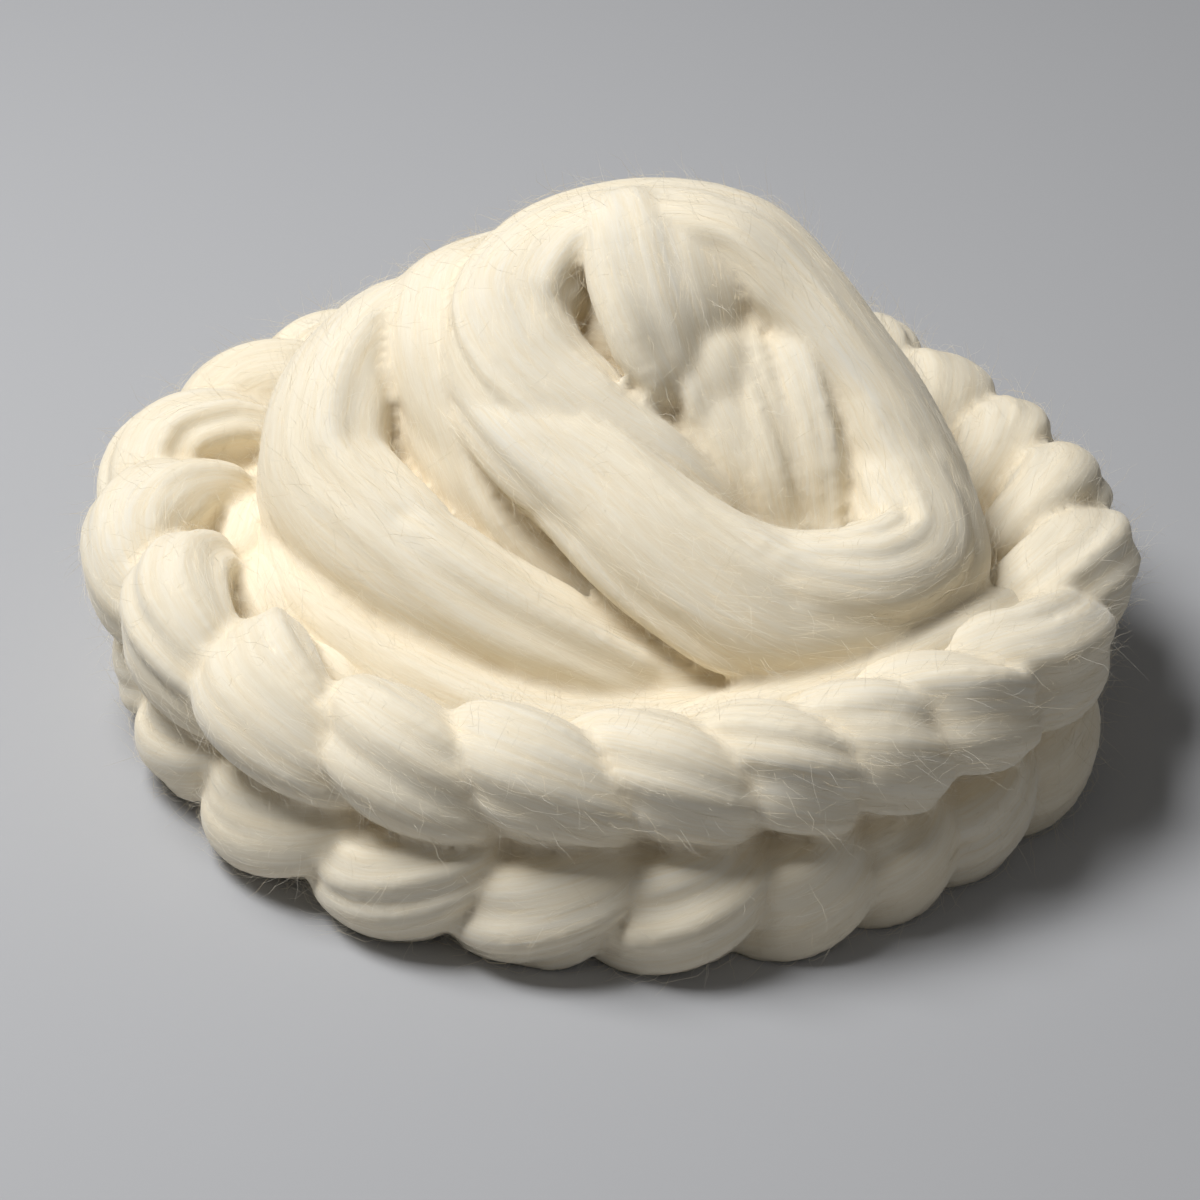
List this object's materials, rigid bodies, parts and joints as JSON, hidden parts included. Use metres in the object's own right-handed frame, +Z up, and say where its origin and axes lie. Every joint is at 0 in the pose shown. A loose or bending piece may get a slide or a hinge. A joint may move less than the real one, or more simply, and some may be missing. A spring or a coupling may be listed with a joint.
{
  "type": "wool roving",
  "caption": "Undyed combed wool strand, its first part hand-chained into a ring and the rest heaped in coils inside.",
  "frame": {"origin": "on the surface it rests on, under the middle of its footprint", "axes": "+Z up; +Y from the low front of the heap to its tall back; +X to the right of that front"},
  "size_m": [0.3198, 0.2958, 0.1479],
  "materials": {
    "cream_wool": "undyed cream wool, matte with a soft silky sheen along its combed fibres"
  },
  "bodies": {
    "root": {"wool_roving": "cream_wool"}
  },
  "joints": []
}
